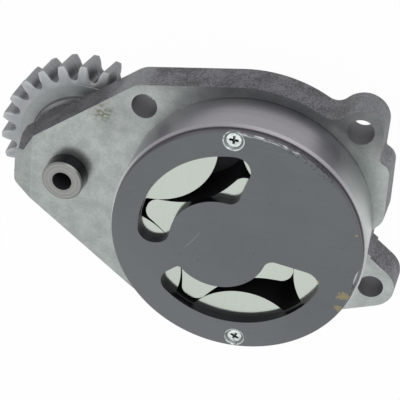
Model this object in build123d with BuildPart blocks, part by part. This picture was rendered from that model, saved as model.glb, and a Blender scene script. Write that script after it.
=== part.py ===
from build123d import *
import math
import os

os.makedirs("parts", exist_ok=True)

# Millimetres. The origin is where the pilot axis meets the mounting face of the flange.
# +Z runs along the pump axis into the engine block, +X points from the pump shaft to the idler.

# ---- gerotor pair -----------------------------------------------------------
INNER_LOBES = 4
OUTER_LOBES = INNER_LOBES + 1
ECCENTRICITY = 5.3            # pocket axis to shaft axis
ECCENTRIC_ANGLE = 25.1        # direction of the shaft axis as seen from the pocket axis
LOBE_CIRCLE = 43.9            # circle through the centres of the outer rotor's lobes
LOBE_RADIUS = 22.2            # every outer lobe is one arc
LOBE_ANGLE = 29.0             # first outer lobe at rest
TIP_CLEARANCE = 0.10          # gap between the two rotors where they meet
ROOT_RELIEF = 0.15            # room past the inner lobe's tip at full mesh
ROOT_BLEND = 0.8              # blend between an outer lobe and the root circle
RING_WALL = 2.7               # outer rotor's ring behind the roots
ROTOR_LENGTH = 17.9
PROFILE_ARCS = 8              # arcs along one inner lobe
PROFILE_STEPS = 600           # fine steps used to space those points along the curve

# ---- running and assembly clearances ----------------------------------------
POCKET_CLEARANCE = 0.08       # outer rotor in its pocket, on the radius
BEARING_CLEARANCE = 0.03      # shafts in their bushes, on the radius
END_CLEARANCE = 0.05          # rotors to pocket floor and to plate
SIDE_CLEARANCE = 0.10         # gears to their thrust washers
LOOSE_CLEARANCE = 0.15        # washers on shafts, keys over their seats

# ---- body and flange ---------------------------------------------------------
POCKET_AXIS = (0.5, -0.8)
BODY_WALL = 8.25
BODY_CHAMFER = 0.9
PLATE_STEP = 1.2              # the plate is this much smaller than the body on the radius
PLATE_THICKNESS = 3.0
PLATE_CHAMFER = 0.2
FLOOR_LEVEL = 0.7             # pocket floor above the mounting face
FLANGE_THICKNESS = 12.0
FLANGE_DRAFT = 6.0            # degrees, the cast rim widens away from the mounting face
RIM_WALL = 11.2               # cast rim round the pocket
BOLT_HOLE_RADIUS = 4.5        # clearance for M8
BOLT_OFFSET = 7.8             # bolt circle outside the body
BOLT_SEAT_RADIUS = 7.6        # faced pads under the bolt heads, at the back
BOLT_SEAT_HEIGHT = 2.3
BOLT_ANGLES = (-38.4, -128.8, 158.4)
EAR_WALLS = (3.3, 2.9, 3.8)   # metal round each bolt hole at the face
# Rounds that shape the cast rim: inset from the rim, angle about the pocket axis, radius.
EAR_ROOTS = ((3.3, -141.0, 7.4), (8.3, 115.4, 8.3), (5.0, 165.7, 5.0))
RIM_BULGE = ((-1.5, -148.2, 4.2), (3.7, -167.6, 5.0))
WAIST_BLEND = 2.5             # between the upper ear and the bulge
WAIST_ANGLE = -143.5
EAR_BLEND = 6.0
EAR_BLEND_ANGLE = -121.5      # where the upper ear leaves the rim
WEB_BULGE = (50.5, 50.0, 8.0)  # radius, angle and corner radius of the web's blind side
NOTCH = ((0.2, 173.2), (14.0, 167.0), (16.5, 180.0), (7.8, 194.9), (0.2, 185.6))  # past the body
END_REACH = 17.3              # idler axis to the corners of the flange end
END_CORNERS = (-4.7, 8.0)     # height of those corners from the idler axis
CORNER_RADIUS = 3.0
BEVEL_REACH = 13.7            # idler axis to the start of the bevelled end
BEVEL_DROP = 2.0
# Sloping cast corner beside the bevel: where it leaves the machined faces, and how it falls.
CORNER_CUT = (17.0, -4.75, -1.0)   # its inner end, from the idler axis
CUT_HEADING = 65.0            # direction of its edge on the mounting face
CUT_SLOPE = 70.0              # fall from the mounting face, in degrees
CUT_LENGTH = 16.0
HUB_RADIUS = 15.0
BOSS_RADIUS = 18.9
HUB_LENGTH = 5.9              # hub and idler boss behind the flange

# ---- ports and plate fixing --------------------------------------------------
PORT_MARGIN = 0.25            # ports reach this far past the rotor roots
PORT_INNER_MARGIN = 0.6       # and start this far outside the inner rotor's roots
PORT_ANGLES = ((-103.0, 12.8), (44.3, 175.6))
PORT_CORNERS = ((3.6, 5.2, 5.0, 5.0), (1.4, 5.0, 3.4, 5.5))
SCALLOP_ANGLE = 176.5
SCALLOP_DEPTH = 1.4
SCALLOP_RADIUS = 16.0
SCREW_ANGLES = (-81.8, 98.7)
SCREW_RADIUS = 1.25           # M2.5
SCREW_INSET = 0.5             # in from the middle of the body's wall
SCREW_LENGTH = 11.0
SCREW_HEAD_RADIUS = 2.35
SINK_RADIUS = 3.3             # one countersink breaks into the plate's rim
SCREW_PLAY = 0.2

# ---- shafts and gears ----------------------------------------------------------
MODULE = 2.5
GEAR_TEETH = 24
PRESSURE_ANGLE = 14.5
BACKLASH = 0.17               # taken half off each flank, on the pitch circle
TOOTH_TWIST = 2.8             # degrees the idler teeth turn from their outer to their inner face
IDLER_TOOTH_ANGLE = 5.0       # one idler tooth at rest, at the face nearer the flange
FLANK_STEPS = 2               # straight runs along one involute flank
GULLET_STEPS = 4              # and round one gullet between teeth
GEAR_WIDTH = 11.2
GEAR_RECESS = 3.5             # recess in the outer face, round the circlip
RECESS_RADIUS = 16.0
SHAFT_RADIUS = 8.0
GEAR_SEAT_RADIUS = 7.0
BUSH_WALL = 2.0
KEY_SIZE = 4.0
KEY_DEPTH = 2.0
ROTOR_KEY_LENGTH = 13.0
GEAR_KEY_LENGTH = 5.5
WASHER_THICKNESS = 1.5
WASHER_WIDTH = 5.0
WASHER_LIP = 1.3              # the idler's thrust washer reaches this far past its boss
IDLER_RADIUS = 7.5
IDLER_SEAT_RADIUS = 7.9       # the shaft's thicker part, held in the flange
IDLER_BORE = 3.5
IDLER_STAND = 6.0             # idler shaft proud of the mounting face, where it also locates the pump
IDLER_CHAMFER = 0.5
OIL_HOLE_RADIUS = 1.5
PLUG_LENGTH = 3.0
END_WASHER = 1.0
CLIP_THICKNESS = 1.0
CLIP_SEAT = 0.4               # depth of a circlip groove
CLIP_WIDTH = 2.4
CLIP_LUG = 2.0
CLIP_EYE = 0.8
CLIP_GAP = 24.0               # degrees between the two lugs
END_LAND = 0.1                # shaft ends sit this far inside the gears' outer faces

# ---- sizes that follow ---------------------------------------------------------
SHAFT_AXIS = (
    POCKET_AXIS[0] + ECCENTRICITY * math.cos(math.radians(ECCENTRIC_ANGLE)),
    POCKET_AXIS[1] + ECCENTRICITY * math.sin(math.radians(ECCENTRIC_ANGLE)),
)
GEAR_CENTRES = MODULE * GEAR_TEETH
IDLER_AXIS = (SHAFT_AXIS[0] + GEAR_CENTRES, SHAFT_AXIS[1])
ROOT_RADIUS = LOBE_CIRCLE - LOBE_RADIUS + 2 * ECCENTRICITY + ROOT_RELIEF
INNER_ROOT = LOBE_CIRCLE - LOBE_RADIUS - TIP_CLEARANCE - ECCENTRICITY
RING_RADIUS = ROOT_RADIUS + RING_WALL
POCKET_RADIUS = RING_RADIUS + POCKET_CLEARANCE
BODY_RADIUS = POCKET_RADIUS + BODY_WALL
PLATE_RADIUS = BODY_RADIUS - PLATE_STEP
BOLT_CIRCLE = BODY_RADIUS + BOLT_OFFSET
SCREW_CIRCLE = (POCKET_RADIUS + BODY_RADIUS) / 2 - SCREW_INSET
WALL_AXIS = (POCKET_AXIS[0] / 2, POCKET_AXIS[1] / 2)  # the middle of the wall runs round this
FACE_LEVEL = FLOOR_LEVEL + ROTOR_LENGTH + 2 * END_CLEARANCE
PLATE_LEVEL = FACE_LEVEL + PLATE_THICKNESS
ROTOR_LEVEL = FLOOR_LEVEL + END_CLEARANCE
HUB_LEVEL = -FLANGE_THICKNESS - HUB_LENGTH
WASHER_LEVEL = HUB_LEVEL - WASHER_THICKNESS
GEAR_TOP = WASHER_LEVEL - SIDE_CLEARANCE
GEAR_BASE = GEAR_TOP - GEAR_WIDTH
WEB_BASE = GEAR_BASE + GEAR_RECESS
SHAFT_END = GEAR_BASE + END_LAND
BUSH_RADIUS = SHAFT_RADIUS + BEARING_CLEARANCE + BUSH_WALL
IDLER_BUSH_RADIUS = IDLER_RADIUS + BEARING_CLEARANCE + BUSH_WALL
END_WASHER_BASE = WEB_BASE - SIDE_CLEARANCE - END_WASHER
LOBE_STEP = 360 / OUTER_LOBES
INNER_ANGLE = (LOBE_ANGLE * OUTER_LOBES - (ECCENTRIC_ANGLE + 180)) / INNER_LOBES
TOOTH_STEP = 360 / GEAR_TEETH
SINK_DEPTH = SINK_RADIUS - SCREW_HEAD_RADIUS - SCREW_PLAY + 0.05  # heads lie below the plate
BEVEL_SLOPE = BEVEL_DROP / (END_REACH + CORNER_RADIUS - BEVEL_REACH)
DRIVE_TOOTH_ANGLE = TOOTH_STEP / 2 - IDLER_TOOTH_ANGLE


def polar(radius, angle, centre=(0.0, 0.0)):
    """A point at this radius and angle in degrees from the centre."""
    turn = math.radians(angle)
    return (centre[0] + radius * math.cos(turn), centre[1] + radius * math.sin(turn))


def tight_outline(circles):
    """The face a tight belt makes round (x, y, radius) circles listed anticlockwise."""
    touches = []
    for index, (x1, y1, r1) in enumerate(circles):
        x2, y2, r2 = circles[(index + 1) % len(circles)]
        heading = math.degrees(math.atan2(y2 - y1, x2 - x1))
        lean = math.degrees(math.acos((r1 - r2) / math.hypot(x2 - x1, y2 - y1)))
        normal = heading - lean
        touches.append((normal, polar(r1, normal, (x1, y1)), polar(r2, normal, (x2, y2))))
    with BuildSketch() as belt:
        with BuildLine():
            for index, (x, y, r) in enumerate(circles):
                arriving = touches[index - 1]
                leaving = touches[index]
                swing = (leaving[0] - arriving[0]) % 360
                middle = polar(r, arriving[0] + swing / 2, (x, y))
                ThreePointArc(arriving[2], middle, leaving[1])
                Line(leaving[1], leaving[2])
        make_face()
    return belt.sketch


def gear_outline(first_tooth, level):
    """Corners of a gear's outline at this level, one tooth centred on the given angle."""
    pitch = MODULE * GEAR_TEETH / 2
    base = pitch * math.cos(math.radians(PRESSURE_ANGLE))
    tip = pitch + MODULE
    root = pitch - 1.25 * MODULE
    slope = math.radians(PRESSURE_ANGLE)
    half_pitch_angle = (math.pi * MODULE / 2 - BACKLASH) / (2 * pitch)
    base_half = half_pitch_angle + math.tan(slope) - slope

    def flank(radius):
        lean = math.acos(min(1.0, base / radius))
        return math.degrees(base_half - (math.tan(lean) - lean))

    low = base + 0.02 * MODULE
    foot = flank(low)
    gap = TOOTH_STEP - 2 * foot
    reaches = [low + (tip - low) * n / FLANK_STEPS for n in range(FLANK_STEPS + 1)]
    points = []
    for tooth in range(GEAR_TEETH):
        at = first_tooth + tooth * TOOTH_STEP
        points += [polar(radius, at - flank(radius)) for radius in reaches]
        points += [polar(radius, at + flank(radius)) for radius in reversed(reaches)]
        for n in range(1, GULLET_STEPS):
            sweep = math.pi * n / GULLET_STEPS
            along = at + foot + gap * (1 - math.cos(sweep)) / 2
            points.append(polar(low - (low - root) * math.sin(sweep), along))
    return [Vector(x, y, level) for x, y in points]


def helical_blank(first_tooth, twist):
    """A toothed blank whose teeth turn by the twist from its upper to its lower face."""
    upper = gear_outline(first_tooth, GEAR_TOP)
    lower = gear_outline(first_tooth + twist, GEAR_BASE)
    facets = [Face(Wire.make_polygon(outline, close=True)) for outline in (upper, lower)]
    for here in range(len(upper)):
        after = (here + 1) % len(upper)
        facets.append(Face(Wire.make_polygon([lower[here], lower[after], upper[after]], close=True)))
        facets.append(Face(Wire.make_polygon([lower[here], upper[after], upper[here]], close=True)))
    return Solid(Shell(facets))


def outer_rotor_opening():
    """The five-lobed opening of the outer rotor, about the pocket axis."""
    with BuildSketch() as opening:
        Circle(ROOT_RADIUS)
        for lobe in range(OUTER_LOBES):
            with Locations(polar(LOBE_CIRCLE, LOBE_ANGLE + lobe * LOBE_STEP)):
                Circle(LOBE_RADIUS, mode=Mode.SUBTRACT)
        fillet(opening.vertices(), radius=ROOT_BLEND)
    return opening.sketch


def inner_rotor_curve(turn):
    """Point of the inner rotor's flank that the outer lobe wraps at this rolling angle."""
    def centre(at):
        roll = math.radians(at)
        swing = math.radians(OUTER_LOBES * at)
        return (
            LOBE_CIRCLE * math.cos(roll) + ECCENTRICITY * math.cos(swing),
            LOBE_CIRCLE * math.sin(roll) + ECCENTRICITY * math.sin(swing),
        )

    ahead = centre(turn + 0.01)
    behind = centre(turn - 0.01)
    here = centre(turn)
    along = math.hypot(ahead[0] - behind[0], ahead[1] - behind[1])
    offset = LOBE_RADIUS + TIP_CLEARANCE
    return (
        here[0] - offset * (ahead[1] - behind[1]) / along,
        here[1] + offset * (ahead[0] - behind[0]) / along,
    )


def inner_rotor_face():
    """The four-lobed cross-section of the inner rotor, a lobe on +X, about the shaft axis."""
    step = 360 / INNER_LOBES
    fine = [inner_rotor_curve(-step / 2 + step * n / PROFILE_STEPS) for n in range(PROFILE_STEPS + 1)]
    run = [0.0]
    for before, after in zip(fine, fine[1:]):
        run.append(run[-1] + math.dist(before, after))
    spaced = []
    for wanted in range(2 * PROFILE_ARCS + 1):
        target = run[-1] * wanted / (2 * PROFILE_ARCS)
        spaced.append(min(range(len(run)), key=lambda n: abs(run[n] - target)))
    with BuildSketch() as profile:
        with BuildLine():
            for lobe in range(INNER_LOBES):
                points = [Vector(*fine[n]).rotate(Axis.Z, lobe * step) for n in spaced]
                for n in range(PROFILE_ARCS):
                    ThreePointArc(*points[2 * n:2 * n + 3])
        make_face()
    return profile.sketch


def port_face(angles, corners):
    """A kidney port between the outer rotor's roots and the inner rotor's roots."""
    first, last = angles
    far = 2 * BODY_RADIUS
    rays = [polar(far, first + (last - first) * n / 4, SHAFT_AXIS) for n in range(5)]
    with BuildSketch() as port:
        with Locations(POCKET_AXIS):
            Circle(ROOT_RADIUS + PORT_MARGIN)
        with Locations(SHAFT_AXIS):
            Circle(INNER_ROOT + PORT_INNER_MARGIN, mode=Mode.SUBTRACT)
        with BuildSketch(mode=Mode.INTERSECT):
            with BuildLine():
                Polyline(SHAFT_AXIS, *rays, close=True)
            make_face()
        reaches = (INNER_ROOT + PORT_INNER_MARGIN, far)
        places = [(reach, angle) for angle in angles for reach in reaches]
        for (reach, angle), radius in zip(places, corners):
            corner = port.vertices().sort_by_distance((*polar(reach, angle, SHAFT_AXIS), 0))[0]
            fillet(corner, radius=radius)
    return port.sketch


def circlip_face(seat, lug_angle):
    """A circlip lying in a groove of the given seat radius, its two lugs beside the gap."""
    ring = seat + CLIP_WIDTH
    with BuildSketch() as clip:
        Circle(ring)
        for side in (-1, 1):
            with Locations(polar(ring, lug_angle + side * CLIP_GAP)):
                Circle(CLIP_LUG)
        Circle(seat, mode=Mode.SUBTRACT)
        for side in (-1, 1):
            with Locations(polar(ring, lug_angle + side * CLIP_GAP)):
                Circle(CLIP_EYE, mode=Mode.SUBTRACT)
        with BuildSketch(mode=Mode.SUBTRACT):
            with BuildLine():
                Polyline(
                    (0, 0),
                    polar(2 * ring, lug_angle - CLIP_GAP / 2),
                    polar(2 * ring, lug_angle + CLIP_GAP / 2),
                    close=True,
                )
            make_face()
    return clip.sketch


def key_plane(level, angle):
    """A level plane on the shaft axis whose own x runs towards the key."""
    return Plane(origin=(*SHAFT_AXIS, level), x_dir=(*polar(1, angle), 0), z_dir=(0, 0, 1))


rotor_key_base = ROTOR_LEVEL + (ROTOR_LENGTH - ROTOR_KEY_LENGTH) / 2
gear_key_base = GEAR_TOP - GEAR_KEY_LENGTH
bolt_points = [polar(BOLT_CIRCLE, angle) for angle in BOLT_ANGLES]
screw_points = [polar(SCREW_CIRCLE, angle, WALL_AXIS) for angle in SCREW_ANGLES]
ears = [(*point, BOLT_HOLE_RADIUS + wall) for point, wall in zip(bolt_points, EAR_WALLS)]
rim_radius = POCKET_RADIUS + RIM_WALL
end_x = IDLER_AXIS[0] + END_REACH

# The idler web, from the first ear round the flange end and back to the body.
web_outline = tight_outline(
    [
        (*POCKET_AXIS, rim_radius),
        ears[0],
        (end_x, IDLER_AXIS[1] + END_CORNERS[0], CORNER_RADIUS),
        (end_x, IDLER_AXIS[1] + END_CORNERS[1], CORNER_RADIUS),
        (*polar(WEB_BULGE[0], WEB_BULGE[1], POCKET_AXIS), WEB_BULGE[2]),
    ]
)
ear_roots = [(*polar(rim_radius - inset, at, POCKET_AXIS), radius) for inset, at, radius in EAR_ROOTS]
bulges = [(*polar(rim_radius - inset, at, POCKET_AXIS), radius) for inset, at, radius in RIM_BULGE]
upper_ear_outline = tight_outline([ears[1], ear_roots[0]])
side_ear_outline = tight_outline([ear_roots[1], ears[2], ear_roots[2]])
bulge_outline = tight_outline(bulges)

with BuildPart() as pump_housing:
    with BuildSketch(Plane.XY) as flange_face:
        add(web_outline)
        add(upper_ear_outline)
        add(side_ear_outline)
        add(bulge_outline)
        with BuildSketch(mode=Mode.SUBTRACT):
            with BuildLine():
                Polyline(*[polar(BODY_RADIUS + past, angle) for past, angle in NOTCH], close=True)
            make_face()
        blend_at = (*polar(rim_radius, EAR_BLEND_ANGLE), 0)
        fillet(flange_face.vertices().sort_by_distance(blend_at)[0], radius=EAR_BLEND)
        waist_at = (*polar(rim_radius, WAIST_ANGLE, POCKET_AXIS), 0)
        fillet(flange_face.vertices().sort_by_distance(waist_at)[0], radius=WAIST_BLEND)
    extrude(amount=-FLANGE_THICKNESS, taper=-FLANGE_DRAFT)
    with BuildSketch(Plane.XY):
        Circle(BODY_RADIUS)
    extrude(amount=FACE_LEVEL)
    chamfer(pump_housing.faces().sort_by(Axis.Z)[-1].edges(), length=BODY_CHAMFER)
    with BuildSketch(Plane.XY.offset(-FLANGE_THICKNESS)):
        with Locations(SHAFT_AXIS):
            Circle(HUB_RADIUS)
        with Locations(IDLER_AXIS):
            Circle(BOSS_RADIUS)
    extrude(amount=-HUB_LENGTH)
    with BuildSketch(Plane.XY.offset(-FLANGE_THICKNESS)):
        with Locations(*bolt_points):
            Circle(BOLT_SEAT_RADIUS)
    extrude(amount=-BOLT_SEAT_HEIGHT)
    # Pocket for the rotors, open towards the port plate.
    with BuildSketch(Plane.XY.offset(FLOOR_LEVEL)):
        with Locations(POCKET_AXIS):
            Circle(POCKET_RADIUS)
    extrude(amount=ROTOR_LENGTH + 2 * END_CLEARANCE, mode=Mode.SUBTRACT)
    # Seats of the shaft bush and of the idler shaft, right through.
    with BuildSketch(Plane.XY.offset(HUB_LEVEL)):
        with Locations(SHAFT_AXIS):
            Circle(BUSH_RADIUS)
        with Locations(IDLER_AXIS):
            Circle(IDLER_SEAT_RADIUS)
    extrude(amount=FLOOR_LEVEL - HUB_LEVEL, mode=Mode.SUBTRACT)
    with BuildSketch(Plane.XY):
        with Locations(*bolt_points):
            Circle(BOLT_HOLE_RADIUS)
    extrude(amount=-FLANGE_THICKNESS - BOLT_SEAT_HEIGHT, mode=Mode.SUBTRACT)
    with BuildSketch(Plane.XY.offset(FACE_LEVEL)):
        with Locations(*screw_points):
            Circle(SCREW_RADIUS)
    extrude(amount=PLATE_THICKNESS - SCREW_LENGTH - SINK_DEPTH, mode=Mode.SUBTRACT)
    # The end past the idler shaft falls away from the mounting face.
    with BuildSketch(Plane.XZ.offset(-2 * BODY_RADIUS)):
        with BuildLine():
            Polyline(
                (IDLER_AXIS[0] + BEVEL_REACH, 0),
                (IDLER_AXIS[0] + BEVEL_REACH + 4 * CORNER_RADIUS, -4 * CORNER_RADIUS * BEVEL_SLOPE),
                (IDLER_AXIS[0] + BEVEL_REACH + 4 * CORNER_RADIUS, FLANGE_THICKNESS),
                (IDLER_AXIS[0] + BEVEL_REACH, FLANGE_THICKNESS),
                close=True,
            )
        make_face()
    extrude(amount=4 * BODY_RADIUS, mode=Mode.SUBTRACT)
    # Cast corner that the machining leaves, sloping from the flange face to its back.
    lean = math.radians(CUT_SLOPE)
    away = polar(math.sin(lean), CUT_HEADING - 90)
    cut_plane = Plane(
        origin=(IDLER_AXIS[0] + CORNER_CUT[0], IDLER_AXIS[1] + CORNER_CUT[1], CORNER_CUT[2]),
        x_dir=(*polar(1, CUT_HEADING), 0),
        z_dir=(*away, math.cos(lean)),
    )
    with BuildSketch(cut_plane):
        with BuildLine():
            Polyline(
                (-CUT_LENGTH, FLANGE_THICKNESS / 4),
                (-CUT_LENGTH, -CUT_LENGTH),
                (CUT_LENGTH, -CUT_LENGTH),
                (0, 0),
                (0, FLANGE_THICKNESS / 4),
                close=True,
            )
        make_face()
    extrude(amount=CUT_LENGTH, mode=Mode.SUBTRACT)

with BuildPart() as port_plate:
    with BuildSketch(Plane.XY.offset(FACE_LEVEL)):
        Circle(PLATE_RADIUS)
        with Locations(polar(PLATE_RADIUS - SCALLOP_DEPTH + SCALLOP_RADIUS, SCALLOP_ANGLE)):
            Circle(SCALLOP_RADIUS, mode=Mode.SUBTRACT)
    extrude(amount=PLATE_THICKNESS)
    chamfer(port_plate.faces().sort_by(Axis.Z)[-1].edges(), length=PLATE_CHAMFER)
    with BuildSketch(Plane.XY.offset(FACE_LEVEL)):
        with Locations(*screw_points):
            Circle(SCREW_RADIUS + SCREW_PLAY)
    extrude(amount=PLATE_THICKNESS, mode=Mode.SUBTRACT)
    # 90 degree countersinks.
    with BuildSketch(Plane.XY.offset(PLATE_LEVEL)):
        with Locations(*screw_points):
            Circle(SINK_RADIUS)
    extrude(amount=SCREW_RADIUS - SINK_RADIUS, taper=45, mode=Mode.SUBTRACT)
    with BuildSketch(Plane.XY.offset(FACE_LEVEL)):
        for angles, corners in zip(PORT_ANGLES, PORT_CORNERS):
            add(port_face(angles, corners))
    extrude(amount=PLATE_THICKNESS, mode=Mode.SUBTRACT)

plate_screws = []
for point in screw_points:
    with BuildPart() as plate_screw:
        with BuildSketch(Plane.XY.offset(PLATE_LEVEL - SINK_DEPTH)):
            with Locations(point):
                Circle(SCREW_HEAD_RADIUS)
        extrude(amount=SCREW_RADIUS - SCREW_HEAD_RADIUS, taper=45)
        with BuildSketch(Plane.XY.offset(PLATE_LEVEL - SINK_DEPTH)):
            with Locations(point):
                Circle(SCREW_RADIUS)
        extrude(amount=-SCREW_LENGTH)
    plate_screws.append(plate_screw)

with BuildPart() as outer_rotor:
    with BuildSketch(Plane.XY.offset(ROTOR_LEVEL)):
        with Locations(POCKET_AXIS):
            Circle(RING_RADIUS)
            add(outer_rotor_opening(), mode=Mode.SUBTRACT)
    extrude(amount=ROTOR_LENGTH)

with BuildPart() as inner_rotor:
    with BuildSketch(Plane.XY.offset(ROTOR_LEVEL)):
        with Locations(Location((*SHAFT_AXIS, 0), (0, 0, INNER_ANGLE))):
            add(inner_rotor_face())
        with Locations(SHAFT_AXIS):
            Circle(SHAFT_RADIUS, mode=Mode.SUBTRACT)
    extrude(amount=ROTOR_LENGTH)
    with BuildSketch(key_plane(ROTOR_LEVEL, INNER_ANGLE)):
        with Locations((SHAFT_RADIUS, 0)):
            Rectangle(2 * (KEY_SIZE - KEY_DEPTH + LOOSE_CLEARANCE), KEY_SIZE)
    extrude(amount=ROTOR_LENGTH, mode=Mode.SUBTRACT)

with BuildPart() as pump_shaft:
    with BuildSketch(Plane.XY.offset(GEAR_TOP)):
        with Locations(SHAFT_AXIS):
            Circle(SHAFT_RADIUS)
    extrude(amount=ROTOR_LEVEL + ROTOR_LENGTH - GEAR_TOP)
    with BuildSketch(Plane.XY.offset(GEAR_TOP)):
        with Locations(SHAFT_AXIS):
            Circle(GEAR_SEAT_RADIUS)
    extrude(amount=SHAFT_END - GEAR_TOP)
    with BuildSketch(Plane.XY.offset(WEB_BASE)):
        with Locations(SHAFT_AXIS):
            Circle(GEAR_SEAT_RADIUS)
            Circle(GEAR_SEAT_RADIUS - CLIP_SEAT, mode=Mode.SUBTRACT)
    extrude(amount=-CLIP_THICKNESS, mode=Mode.SUBTRACT)
    with BuildSketch(key_plane(rotor_key_base, INNER_ANGLE)):
        with Locations((SHAFT_RADIUS, 0)):
            Rectangle(2 * KEY_DEPTH, KEY_SIZE)
    extrude(amount=ROTOR_KEY_LENGTH, mode=Mode.SUBTRACT)
    with BuildSketch(key_plane(gear_key_base, DRIVE_TOOTH_ANGLE)):
        with Locations((GEAR_SEAT_RADIUS, 0)):
            Rectangle(2 * KEY_DEPTH, KEY_SIZE)
    extrude(amount=GEAR_KEY_LENGTH, mode=Mode.SUBTRACT)

with BuildPart() as rotor_key:
    with BuildSketch(key_plane(rotor_key_base, INNER_ANGLE)):
        with Locations((SHAFT_RADIUS - KEY_DEPTH + KEY_SIZE / 2, 0)):
            Rectangle(KEY_SIZE, KEY_SIZE)
    extrude(amount=ROTOR_KEY_LENGTH)

with BuildPart() as gear_key:
    with BuildSketch(key_plane(gear_key_base, DRIVE_TOOTH_ANGLE)):
        with Locations((GEAR_SEAT_RADIUS - KEY_DEPTH + KEY_SIZE / 2, 0)):
            Rectangle(KEY_SIZE, KEY_SIZE)
    extrude(amount=GEAR_KEY_LENGTH)

with BuildPart() as shaft_bush:
    with BuildSketch(Plane.XY.offset(HUB_LEVEL)):
        with Locations(SHAFT_AXIS):
            Circle(BUSH_RADIUS)
            Circle(SHAFT_RADIUS + BEARING_CLEARANCE, mode=Mode.SUBTRACT)
    extrude(amount=FLOOR_LEVEL - HUB_LEVEL)

with BuildPart() as drive_thrust_washer:
    with BuildSketch(Plane.XY.offset(WASHER_LEVEL)):
        with Locations(SHAFT_AXIS):
            Circle(SHAFT_RADIUS + WASHER_WIDTH)
            Circle(SHAFT_RADIUS + LOOSE_CLEARANCE, mode=Mode.SUBTRACT)
    extrude(amount=WASHER_THICKNESS)

with BuildPart() as drive_gear:
    with Locations((*SHAFT_AXIS, 0)):
        add(helical_blank(DRIVE_TOOTH_ANGLE, TOOTH_TWIST))
    with BuildSketch(Plane.XY.offset(GEAR_BASE)):
        with Locations(SHAFT_AXIS):
            Circle(GEAR_SEAT_RADIUS)
    extrude(amount=GEAR_WIDTH, mode=Mode.SUBTRACT)
    with BuildSketch(Plane.XY.offset(GEAR_BASE)):
        with Locations(SHAFT_AXIS):
            Circle(RECESS_RADIUS)
    extrude(amount=GEAR_RECESS, mode=Mode.SUBTRACT)
    with BuildSketch(key_plane(GEAR_BASE, DRIVE_TOOTH_ANGLE)):
        with Locations((GEAR_SEAT_RADIUS, 0)):
            Rectangle(2 * (KEY_SIZE - KEY_DEPTH + LOOSE_CLEARANCE), KEY_SIZE)
    extrude(amount=GEAR_WIDTH, mode=Mode.SUBTRACT)

with BuildPart() as drive_circlip:
    with BuildSketch(Plane.XY.offset(WEB_BASE - CLIP_THICKNESS)):
        with Locations(SHAFT_AXIS):
            add(circlip_face(GEAR_SEAT_RADIUS - CLIP_SEAT, DRIVE_TOOTH_ANGLE + 180))
    extrude(amount=CLIP_THICKNESS)

with BuildPart() as idler_shaft:
    with BuildSketch(Plane.XY.offset(SHAFT_END)):
        with Locations(IDLER_AXIS):
            Circle(IDLER_RADIUS)
    extrude(amount=IDLER_STAND - SHAFT_END)
    chamfer(idler_shaft.faces().sort_by(Axis.Z)[-1].edges(), length=IDLER_CHAMFER)
    with BuildSketch(Plane.XY):
        with Locations(IDLER_AXIS):
            Circle(IDLER_SEAT_RADIUS)
    extrude(amount=HUB_LEVEL)
    with BuildSketch(Plane.XY.offset(SHAFT_END)):
        with Locations(IDLER_AXIS):
            Circle(IDLER_BORE)
    extrude(amount=IDLER_STAND - SHAFT_END, mode=Mode.SUBTRACT)
    with BuildSketch(Plane.XY.offset(END_WASHER_BASE)):
        with Locations(IDLER_AXIS):
            Circle(IDLER_RADIUS)
            Circle(IDLER_RADIUS - CLIP_SEAT, mode=Mode.SUBTRACT)
    extrude(amount=-CLIP_THICKNESS, mode=Mode.SUBTRACT)
    # Oil hole from the bore to the idler bush.
    with BuildSketch(Plane.XZ.offset(-IDLER_AXIS[1])):
        with Locations((IDLER_AXIS[0], (GEAR_TOP + WEB_BASE) / 2)):
            Circle(OIL_HOLE_RADIUS)
    extrude(amount=IDLER_RADIUS, mode=Mode.SUBTRACT)

with BuildPart() as idler_plug:
    with BuildSketch(Plane.XY.offset(SHAFT_END)):
        with Locations(IDLER_AXIS):
            Circle(IDLER_BORE)
    extrude(amount=PLUG_LENGTH)

with BuildPart() as idler_thrust_washer:
    with BuildSketch(Plane.XY.offset(WASHER_LEVEL)):
        with Locations(IDLER_AXIS):
            Circle(BOSS_RADIUS + WASHER_LIP)
            Circle(IDLER_RADIUS + LOOSE_CLEARANCE, mode=Mode.SUBTRACT)
    extrude(amount=WASHER_THICKNESS)

with BuildPart() as idler_gear:
    with Locations((*IDLER_AXIS, 0)):
        add(helical_blank(IDLER_TOOTH_ANGLE, -TOOTH_TWIST))
    with BuildSketch(Plane.XY.offset(GEAR_BASE)):
        with Locations(IDLER_AXIS):
            Circle(IDLER_BUSH_RADIUS)
    extrude(amount=GEAR_WIDTH, mode=Mode.SUBTRACT)
    with BuildSketch(Plane.XY.offset(GEAR_BASE)):
        with Locations(IDLER_AXIS):
            Circle(RECESS_RADIUS)
    extrude(amount=GEAR_RECESS, mode=Mode.SUBTRACT)

with BuildPart() as idler_bush:
    with BuildSketch(Plane.XY.offset(WEB_BASE)):
        with Locations(IDLER_AXIS):
            Circle(IDLER_BUSH_RADIUS)
            Circle(IDLER_RADIUS + BEARING_CLEARANCE, mode=Mode.SUBTRACT)
    extrude(amount=GEAR_TOP - WEB_BASE)

with BuildPart() as idler_end_washer:
    with BuildSketch(Plane.XY.offset(END_WASHER_BASE)):
        with Locations(IDLER_AXIS):
            Circle(IDLER_RADIUS + WASHER_WIDTH)
            Circle(IDLER_RADIUS + LOOSE_CLEARANCE, mode=Mode.SUBTRACT)
    extrude(amount=END_WASHER)

with BuildPart() as idler_circlip:
    with BuildSketch(Plane.XY.offset(END_WASHER_BASE - CLIP_THICKNESS)):
        with Locations(IDLER_AXIS):
            add(circlip_face(IDLER_RADIUS - CLIP_SEAT, 90))
    extrude(amount=CLIP_THICKNESS)

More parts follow.
